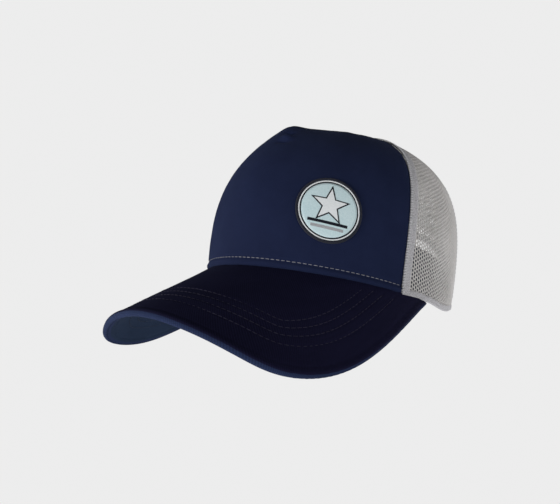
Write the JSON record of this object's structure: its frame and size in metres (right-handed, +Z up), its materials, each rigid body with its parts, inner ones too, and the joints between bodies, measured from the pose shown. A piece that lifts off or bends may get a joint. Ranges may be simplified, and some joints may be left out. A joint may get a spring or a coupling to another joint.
{
  "type": "trucker cap",
  "caption": "Trucker cap with a cloth front panel, curved cloth bill, open mesh sides and back, sweatband and snap strap closure.",
  "frame": {"origin": "centre of the head opening, at the mean height of its rim", "axes": "+Z up through the crown, -Y towards the tip of the bill, +X towards the wearer's left"},
  "size_m": [0.1766, 0.2637, 0.1668],
  "materials": {
    "navy_twill": "brushed cotton twill, matt",
    "navy_edge": "cotton binding, slight sheen",
    "buckram": "stiffened white buckram",
    "grey_mesh": "open polyester mesh",
    "grey_tape": "woven tape",
    "navy_band": "soft cotton sweatband",
    "foam": "thin foam",
    "board": "flexible polyethylene board",
    "snap_plastic": "moulded flexible plastic",
    "badge": "printed woven patch",
    "label": "satin label, blank",
    "steel": "pressed steel"
  },
  "bodies": {
    "cap": {"front_panel": "navy_twill", "front_backing": "buckram", "mesh_side_left": "grey_mesh", "mesh_side_right": "grey_mesh", "mesh_back_left": "grey_mesh", "mesh_back_right": "grey_mesh", "mesh_hem_left": "grey_tape", "mesh_hem_right": "grey_tape", "rear_arch_binding": "grey_tape", "seam_tape_front_left": "grey_tape", "seam_tape_front_right": "grey_tape", "seam_tape_back_left": "grey_tape", "seam_tape_back_right": "grey_tape", "seam_tape_centre_back": "grey_tape", "sweatband": "navy_band", "sweatband_foam": "foam", "bill_top_cover": "navy_twill", "bill_board": "board", "bill_under_cover": "navy_twill", "bill_edge_binding": "navy_edge", "button_cover": "navy_twill", "button_core": "steel", "button_washer": "steel", "front_badge": "badge", "snap_strap_holes_base": "snap_plastic", "snap_strap_pegs_base": "snap_plastic", "inner_label": "label"},
    "snap_strap_holes": {"snap_strap_holes": "snap_plastic"},
    "snap_strap_pegs": {"snap_strap_pegs": "snap_plastic"}
  },
  "joints": [
    {"name": "hole_strap_bend", "type": "hinge", "parent": "cap", "child": "snap_strap_holes", "pos_m": [0.0195, 0.09175, 0.0115], "axis": [0, 0, -1], "range_deg": [0, 75], "stiffness_Nm_per_rad": 0.004},
    {"name": "peg_strap_bend", "type": "hinge", "parent": "cap", "child": "snap_strap_pegs", "pos_m": [-0.0195, 0.0904, 0.0115], "axis": [0, 0, -1], "range_deg": [0, 50], "stiffness_Nm_per_rad": 0.004}
  ]
}
